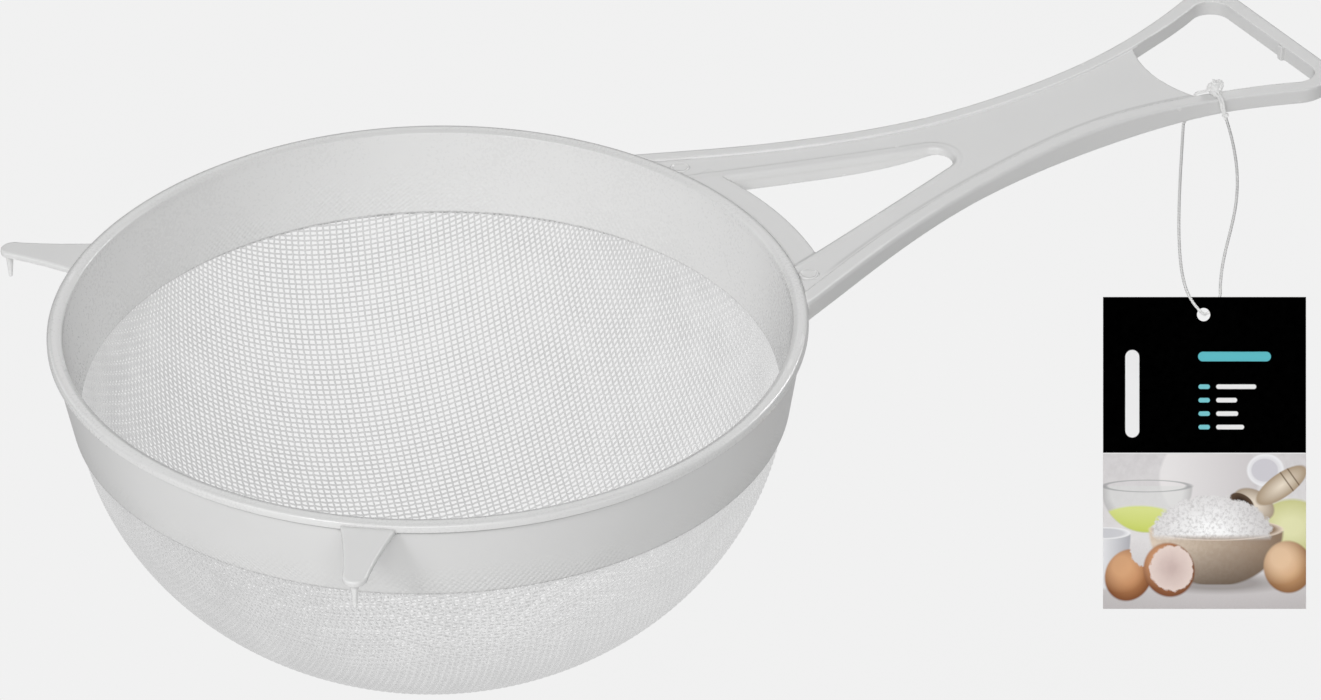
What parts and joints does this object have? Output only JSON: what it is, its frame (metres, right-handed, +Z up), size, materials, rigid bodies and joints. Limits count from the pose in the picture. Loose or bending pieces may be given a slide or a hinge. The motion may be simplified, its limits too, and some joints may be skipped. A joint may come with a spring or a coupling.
{
  "type": "kitchen sieve",
  "caption": "Round hand-held flour sieve with a woven mesh bowl, deep rim band, forked flat handle with hang loop, bowl rests and a blank swing tag on a cord.",
  "frame": {"origin": "centre of the rim circle, in the plane of the top of the rim", "axes": "+Z up out of the bowl's mouth, +X along the handle, +Y to the left of the handle"},
  "size_m": [0.3701, 0.2, 0.122],
  "materials": {
    "frame_plastic": "white moulded polypropylene, satin gloss",
    "ring_plastic": "white moulded polypropylene, satin gloss",
    "mesh_nylon": "plain-woven translucent white nylon thread",
    "cord": "thin white braided cord",
    "card": null
  },
  "bodies": {
    "sieve": {"frame": "frame_plastic", "rim_ring": "ring_plastic", "mesh_bowl": "mesh_nylon", "cord_hitch": "cord"},
    "cord": {"cord_loop": "cord"},
    "tag": {"swing_tag": "card"}
  },
  "joints": [
    {"name": "cord_swing", "type": "hinge", "parent": "sieve", "child": "cord", "pos_m": [0.23009, -0.02047, -0.00115], "axis": [0.8896, -0.4292, 0.1563], "range_deg": [-50, 80]},
    {"name": "tag_swing", "type": "hinge", "parent": "cord", "child": "tag", "pos_m": [0.2149, -0.04433, -0.04586], "axis": [-0.4355, -0.732, 0.524], "range_deg": [-50, 50]}
  ]
}
